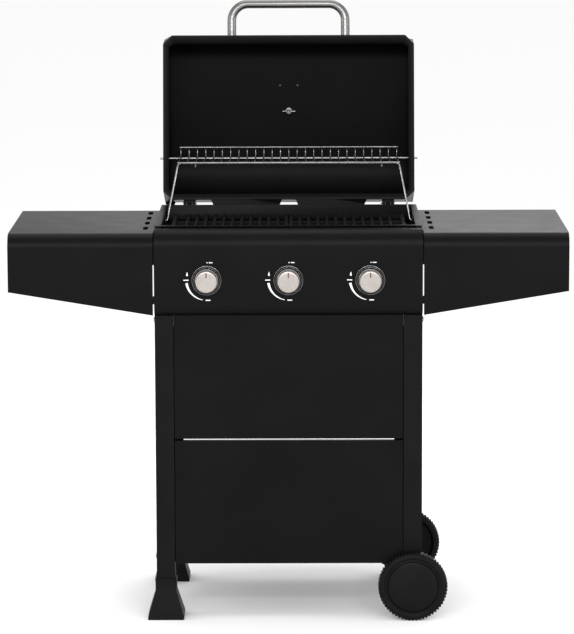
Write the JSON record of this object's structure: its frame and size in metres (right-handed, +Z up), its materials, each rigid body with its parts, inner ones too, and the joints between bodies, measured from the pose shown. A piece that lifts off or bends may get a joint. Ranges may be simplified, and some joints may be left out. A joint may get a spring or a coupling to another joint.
{
  "type": "gas barbecue grill",
  "caption": "Gas barbecue grill on a wheeled cart: hinged lid with a linked warming rack, cooking grates over tube burners, control knobs and side shelves.",
  "frame": {"origin": "on the floor, centred in plan on the whole grill with its lid open", "axes": "+X to the cook's right, +Y away from the cook to the rear, +Z up"},
  "size_m": [1.2, 0.6686, 1.3081],
  "materials": {
    "black_enamel": "satin black powder coat",
    "black_frame": "matt black powder coat",
    "cast_iron": "matt black enamelled iron",
    "brushed_stainless": "brushed",
    "chrome_wire": "bright plated wire",
    "zinc_steel": "plated",
    "brass": "machined",
    "knob_silver": "satin silver plated plastic",
    "black_plastic": "moulded black",
    "glass": "clear",
    "dial_white": "printed face",
    "needle_red": "painted",
    "ceramic_white": "glazed"
  },
  "bodies": {
    "cart": {"firebox": "black_enamel", "firebox_cradle": "black_frame", "firebox_hinge_brackets": "black_frame", "hinge_pins": "zinc_steel", "left_burner": "brushed_stainless", "middle_burner": "brushed_stainless", "right_burner": "brushed_stainless", "left_flame_tamer": "zinc_steel", "middle_flame_tamer": "zinc_steel", "right_flame_tamer": "zinc_steel", "crossover_channel": "brushed_stainless", "igniters": "ceramic_white", "grease_tray_rails": "black_frame", "control_panel": "black_enamel", "gas_manifold": "zinc_steel", "gas_valves": "brass", "knob_bezels": "chrome_wire", "left_shelf": "black_enamel", "right_shelf": "black_enamel", "shelf_brackets": "black_frame", "left_front_leg": "black_frame", "left_rear_leg": "black_frame", "right_front_leg": "black_frame", "right_rear_leg": "black_frame", "cart_feet": "black_plastic", "upper_front_panel": "black_enamel", "lower_front_panel": "black_enamel", "cart_rails": "black_frame", "bottom_shelf": "black_frame", "cart_screws": "zinc_steel", "wheel_axle": "zinc_steel"},
    "lid": {"lid_shell": "black_enamel", "lid_hinge_leaves": "black_frame", "lid_handle": "brushed_stainless", "handle_washers": "zinc_steel", "handle_screws": "zinc_steel", "badge_plate": "brushed_stainless", "thermometer_case": "brushed_stainless", "thermometer_dial": "dial_white", "thermometer_lens": "glass", "thermometer_nut": "zinc_steel"},
    "gauge_needle": {"thermometer_needle": "needle_red"},
    "rack": {"warming_rack": "chrome_wire"},
    "rack_support": {"rack_support_wire": "chrome_wire"},
    "left_grate": {"left_grate": "cast_iron"},
    "right_grate": {"right_grate": "cast_iron"},
    "grease_tray": {"grease_tray": "brushed_stainless"},
    "front_wheel": {"front_wheel": "black_plastic", "front_hub_cap": "black_plastic"},
    "rear_wheel": {"rear_wheel": "black_plastic", "rear_hub_cap": "black_plastic"},
    "left_sleeve": {"left_valve_sleeve": "brass"},
    "left_knob": {"left_valve_stem": "zinc_steel", "left_knob": "knob_silver"},
    "middle_sleeve": {"middle_valve_sleeve": "brass"},
    "middle_knob": {"middle_valve_stem": "zinc_steel", "middle_knob": "knob_silver"},
    "right_sleeve": {"right_valve_sleeve": "brass"},
    "right_knob": {"right_valve_stem": "zinc_steel", "right_knob": "knob_silver"}
  },
  "joints": [
    {"name": "lid_hinge", "type": "hinge", "parent": "cart", "child": "lid", "pos_m": [0, 0.1355, 0.859], "axis": [1, 0, 0], "range_deg": [0, 100]},
    {"name": "rack_swing", "type": "hinge", "parent": "lid", "child": "rack", "pos_m": [0, 0.1805, 0.955], "axis": [1, 0, 0], "range_deg": [-94, 0]},
    {"name": "rack_support_swing", "type": "hinge", "parent": "cart", "child": "rack_support", "pos_m": [0, 0.0145, 0.834], "axis": [1, 0, 0], "range_deg": [0, 92]},
    {"name": "gauge_needle_turn", "type": "hinge", "parent": "lid", "child": "gauge_needle", "pos_m": [0, 0.32876, 1.05035], "axis": [0, 0.9976, 0.0698], "range_deg": [-270, 0]},
    {"name": "left_knob_push", "type": "slide", "parent": "cart", "child": "left_sleeve", "axis": [0, 1, 0], "range_m": [0, 0.0035], "stiffness_N_per_m": 1500},
    {"name": "left_knob_turn", "type": "hinge", "parent": "left_sleeve", "child": "left_knob", "pos_m": [-0.175, -0.2945, 0.744], "axis": [0, -1, 0], "range_deg": [0, 200]},
    {"name": "middle_knob_push", "type": "slide", "parent": "cart", "child": "middle_sleeve", "axis": [0, 1, 0], "range_m": [0, 0.0035], "stiffness_N_per_m": 1500},
    {"name": "middle_knob_turn", "type": "hinge", "parent": "middle_sleeve", "child": "middle_knob", "pos_m": [0, -0.2945, 0.744], "axis": [0, -1, 0], "range_deg": [0, 200]},
    {"name": "right_knob_push", "type": "slide", "parent": "cart", "child": "right_sleeve", "axis": [0, 1, 0], "range_m": [0, 0.0035], "stiffness_N_per_m": 1500},
    {"name": "right_knob_turn", "type": "hinge", "parent": "right_sleeve", "child": "right_knob", "pos_m": [0.175, -0.2945, 0.744], "axis": [0, -1, 0], "range_deg": [0, 200]},
    {"name": "left_grate_lift", "type": "slide", "parent": "cart", "child": "left_grate", "axis": [0, 0, 1], "range_m": [0, 0.012]},
    {"name": "right_grate_lift", "type": "slide", "parent": "cart", "child": "right_grate", "axis": [0, 0, 1], "range_m": [0, 0.012]},
    {"name": "grease_tray_slide", "type": "slide", "parent": "cart", "child": "grease_tray", "axis": [0, 1, 0], "range_m": [0, 0.2]},
    {"name": "front_wheel_spin", "type": "hinge", "parent": "cart", "child": "front_wheel", "pos_m": [0.2675, -0.297, 0.075], "axis": [0, 1, 0], "continuous": true},
    {"name": "rear_wheel_spin", "type": "hinge", "parent": "cart", "child": "rear_wheel", "pos_m": [0.2675, 0.142, 0.075], "axis": [0, 1, 0], "continuous": true}
  ],
  "couplings": [
    {"joint": "rack_swing", "follows": "lid_hinge", "ratio": -0.931},
    {"joint": "rack_support_swing", "follows": "lid_hinge", "ratio": 0.915}
  ]
}
